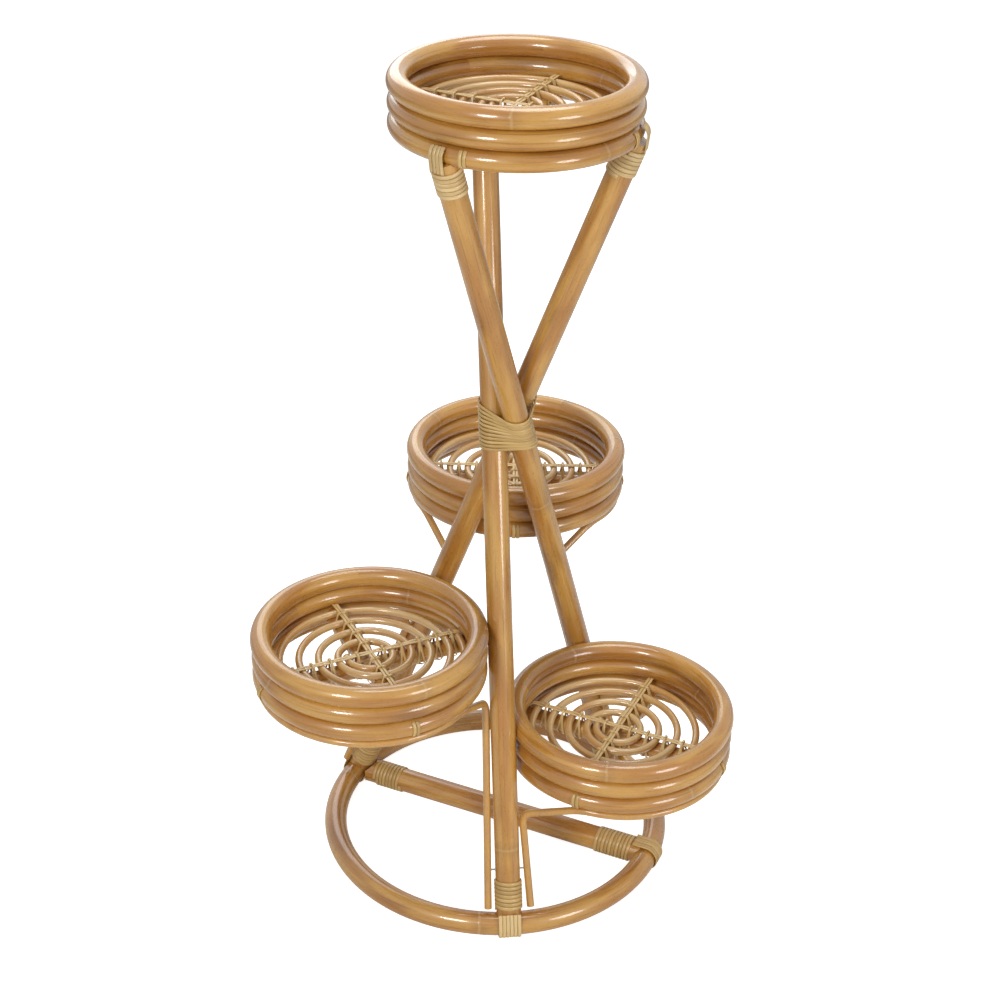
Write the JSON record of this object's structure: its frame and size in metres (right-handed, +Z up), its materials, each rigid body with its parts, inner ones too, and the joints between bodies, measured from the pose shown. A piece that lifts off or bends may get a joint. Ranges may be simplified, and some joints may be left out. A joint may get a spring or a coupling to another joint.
{
  "type": "tiered plant stand",
  "caption": "Tiered plant stand of varnished rattan: leaning legs lashed where they cross, round trays at stepped heights, and a ring base with a crossbar.",
  "frame": {"origin": "on the floor, under the middle of the stand's overall width and depth", "axes": "+Z up, +X to the right seen from the front, -Y towards the viewer"},
  "size_m": [0.5212, 0.5154, 0.9107],
  "materials": {
    "thick_cane": "gloss",
    "hoop_cane": "gloss",
    "thin_cane": "gloss",
    "peel": "gloss",
    "nail": "satin"
  },
  "bodies": {
    "root": {"nails": "nail", "base_ring": "thick_cane", "base_crossbar": "thick_cane", "front_leg": "thick_cane", "front_foot_winding": "peel", "front_foot_straps": "peel", "front_leg_top_lashing": "peel", "back_left_leg": "thick_cane", "back_left_foot_winding": "peel", "back_left_foot_straps": "peel", "back_left_leg_top_lashing": "peel", "back_right_leg": "thick_cane", "back_right_foot_winding": "peel", "back_right_foot_straps": "peel", "back_right_leg_top_lashing": "peel", "crossing_lashing": "peel", "crossbar_left_winding": "peel", "crossbar_right_winding": "peel", "crossbar_right_straps": "peel", "top_tray_rim_hoop": "hoop_cane", "top_tray_middle_hoop": "hoop_cane", "top_tray_bottom_hoop": "hoop_cane", "top_tray_long_bar": "hoop_cane", "top_tray_cross_bar": "hoop_cane", "top_tray_floor": "thin_cane", "top_tray_strips": "peel", "top_tray_ties": "peel", "top_tray_bands": "peel", "back_tray_rim_hoop": "hoop_cane", "back_tray_middle_hoop": "hoop_cane", "back_tray_bottom_hoop": "hoop_cane", "back_tray_long_bar": "hoop_cane", "back_tray_cross_bar": "hoop_cane", "back_tray_floor": "thin_cane", "back_tray_strips": "peel", "back_tray_ties": "peel", "back_tray_bands": "peel", "left_tray_rim_hoop": "hoop_cane", "left_tray_middle_hoop": "hoop_cane", "left_tray_bottom_hoop": "hoop_cane", "left_tray_long_bar": "hoop_cane", "left_tray_cross_bar": "hoop_cane", "left_tray_floor": "thin_cane", "left_tray_strips": "peel", "left_tray_ties": "peel", "left_tray_bands": "peel", "right_tray_rim_hoop": "hoop_cane", "right_tray_middle_hoop": "hoop_cane", "right_tray_bottom_hoop": "hoop_cane", "right_tray_long_bar": "hoop_cane", "right_tray_cross_bar": "hoop_cane", "right_tray_floor": "thin_cane", "right_tray_strips": "peel", "right_tray_ties": "peel", "right_tray_bands": "peel", "back_tray_support": "thin_cane", "left_tray_support": "thin_cane", "right_tray_support": "thin_cane"}
  },
  "joints": []
}
